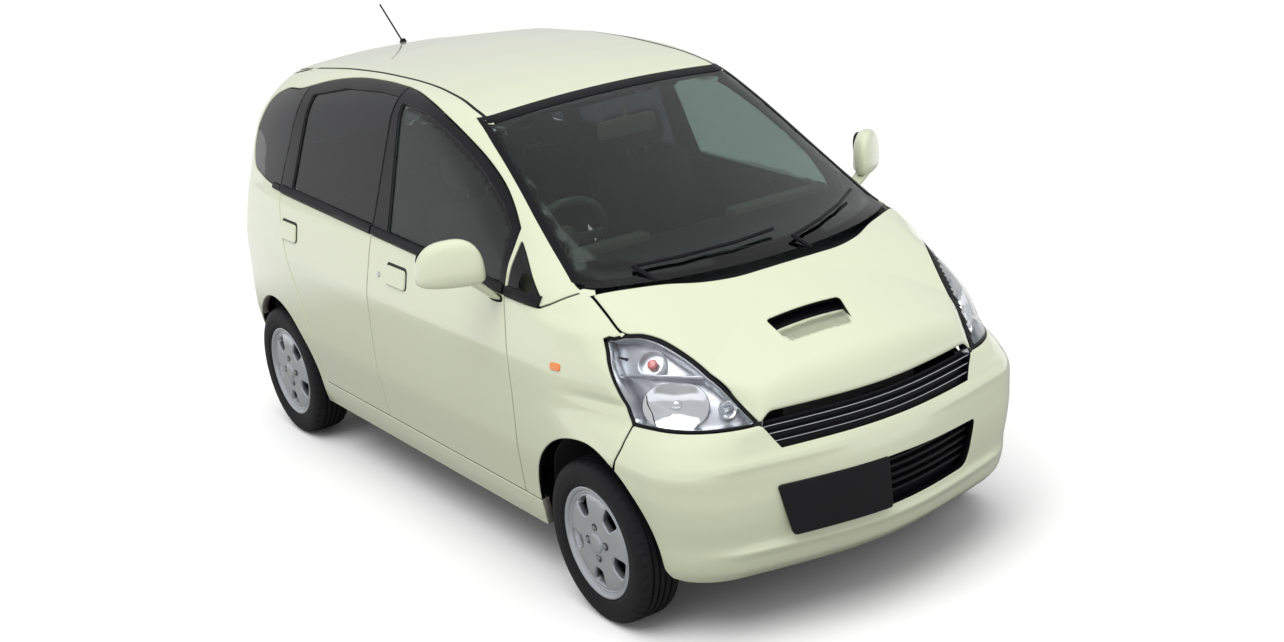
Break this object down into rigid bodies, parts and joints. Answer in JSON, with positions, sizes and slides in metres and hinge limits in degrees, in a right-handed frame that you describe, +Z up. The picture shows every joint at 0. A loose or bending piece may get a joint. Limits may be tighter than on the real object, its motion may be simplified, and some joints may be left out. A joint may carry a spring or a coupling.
{
  "type": "kei car",
  "caption": "Small five-door tall family car with opening doors, bonnet and tailgate, steered front wheels and free rolling wheels.",
  "frame": {"origin": "on the ground under the middle of the length and the width", "axes": "+X forward, +Y to the car's left, +Z up"},
  "size_m": [3.3949, 1.88, 1.6386],
  "materials": {
    "body_paint": "glossy pale cream green paint",
    "windscreen_glass": "green tinted glass",
    "privacy_glass": "dark tinted glass",
    "lamp_clear": "clear lens",
    "lamp_red": "red lens",
    "black_trim": "moulded black plastic",
    "steel_underbody": "black underbody coating",
    "bare_metal": "cast and brushed metal",
    "seat_fabric": "woven brown cloth",
    "alloy": "painted alloy wheel",
    "tyre_rubber": "black rubber"
  },
  "bodies": {
    "root": {"aerial": "black_trim", "body_sides": "body_paint", "bulkhead": "black_trim", "dashboard": "black_trim", "engine": "bare_metal", "exhaust": "bare_metal", "floor_pan": "steel_underbody", "front_bumper": "body_paint", "front_fenders": "body_paint", "front_frame": "steel_underbody", "front_seats": "seat_fabric", "fuel_tank": "steel_underbody", "grille": "black_trim", "headlamps": "lamp_clear", "intake_grille": "black_trim", "rear_axle": "steel_underbody", "rear_bumper": "body_paint", "rear_seat": "seat_fabric", "roof_panel": "body_paint", "room_mirror": "black_trim", "side_glass": "privacy_glass", "tail_lamps": "lamp_red", "windscreen": "windscreen_glass", "wipers": "black_trim"},
    "bonnet": {"bonnet": "body_paint"},
    "tailgate": {"tailgate": "body_paint", "tailgate_glass": "privacy_glass"},
    "steering_wheel": {"steering_wheel": "black_trim"},
    "knuckle_left": {"knuckle_left": "steel_underbody"},
    "front_wheel_left": {"tyre_front_left": "tyre_rubber", "rim_front_left": "alloy"},
    "rear_wheel_left": {"tyre_rear_left": "tyre_rubber", "rim_rear_left": "alloy"},
    "front_door_left": {"door_front_left": "body_paint", "door_glass_front_left": "windscreen_glass", "mirror_left": "body_paint"},
    "rear_door_left": {"door_rear_left": "body_paint", "door_glass_rear_left": "privacy_glass"},
    "knuckle_right": {"knuckle_right": "steel_underbody"},
    "front_wheel_right": {"tyre_front_right": "tyre_rubber", "rim_front_right": "alloy"},
    "rear_wheel_right": {"tyre_rear_right": "tyre_rubber", "rim_rear_right": "alloy"},
    "front_door_right": {"door_front_right": "body_paint", "door_glass_front_right": "windscreen_glass", "mirror_right": "body_paint"},
    "rear_door_right": {"door_rear_right": "body_paint", "door_glass_rear_right": "privacy_glass"}
  },
  "joints": [
    {"name": "bonnet_lift", "type": "hinge", "parent": "root", "child": "bonnet", "pos_m": [1.026, 0, 1.022], "axis": [0, -1, 0], "range_deg": [0, 50]},
    {"name": "tailgate_lift", "type": "hinge", "parent": "root", "child": "tailgate", "pos_m": [-1.4515, 0, 1.4745], "axis": [0, 1, 0], "range_deg": [0, 78]},
    {"name": "steer_left", "type": "hinge", "parent": "root", "child": "knuckle_left", "pos_m": [1.0925, 0.575, 0.18], "axis": [0, -0.1146, 0.9934], "range_deg": [-35, 35]},
    {"name": "front_wheel_left_spin", "type": "hinge", "parent": "knuckle_left", "child": "front_wheel_left", "pos_m": [1.0925, 0.6475, 0.2655], "axis": [0, 1, 0], "continuous": true},
    {"name": "rear_wheel_left_spin", "type": "hinge", "parent": "root", "child": "rear_wheel_left", "pos_m": [-1.2675, 0.6475, 0.2655], "axis": [0, 1, 0], "continuous": true},
    {"name": "front_door_left_swing", "type": "hinge", "parent": "root", "child": "front_door_left", "pos_m": [0.65, 0.728, 0.6], "axis": [0, 0, -1], "range_deg": [0, 65]},
    {"name": "rear_door_left_swing", "type": "hinge", "parent": "root", "child": "rear_door_left", "pos_m": [-0.349, 0.733, 0.4], "axis": [-0.0797, 0, -0.9968], "range_deg": [0, 65]},
    {"name": "steer_right", "type": "hinge", "parent": "root", "child": "knuckle_right", "pos_m": [1.0925, -0.575, 0.18], "axis": [0, 0.1146, 0.9934], "range_deg": [-35, 35]},
    {"name": "front_wheel_right_spin", "type": "hinge", "parent": "knuckle_right", "child": "front_wheel_right", "pos_m": [1.0925, -0.6475, 0.2655], "axis": [0, 1, 0], "continuous": true},
    {"name": "rear_wheel_right_spin", "type": "hinge", "parent": "root", "child": "rear_wheel_right", "pos_m": [-1.2675, -0.6475, 0.2655], "axis": [0, 1, 0], "continuous": true},
    {"name": "front_door_right_swing", "type": "hinge", "parent": "root", "child": "front_door_right", "pos_m": [0.65, -0.728, 0.6], "axis": [0, 0, 1], "range_deg": [0, 65]},
    {"name": "rear_door_right_swing", "type": "hinge", "parent": "root", "child": "rear_door_right", "pos_m": [-0.349, -0.733, 0.4], "axis": [0.0797, 0, 0.9968], "range_deg": [0, 65]},
    {"name": "steering_wheel_turn", "type": "hinge", "parent": "root", "child": "steering_wheel", "pos_m": [0.423, -0.33, 1.022], "axis": [-0.9063, 0, 0.4226], "range_deg": [-490, 490]}
  ],
  "couplings": [
    {"joint": "steer_right", "follows": "steer_left", "ratio": 1},
    {"joint": "steering_wheel_turn", "follows": "steer_left", "ratio": 14}
  ]
}
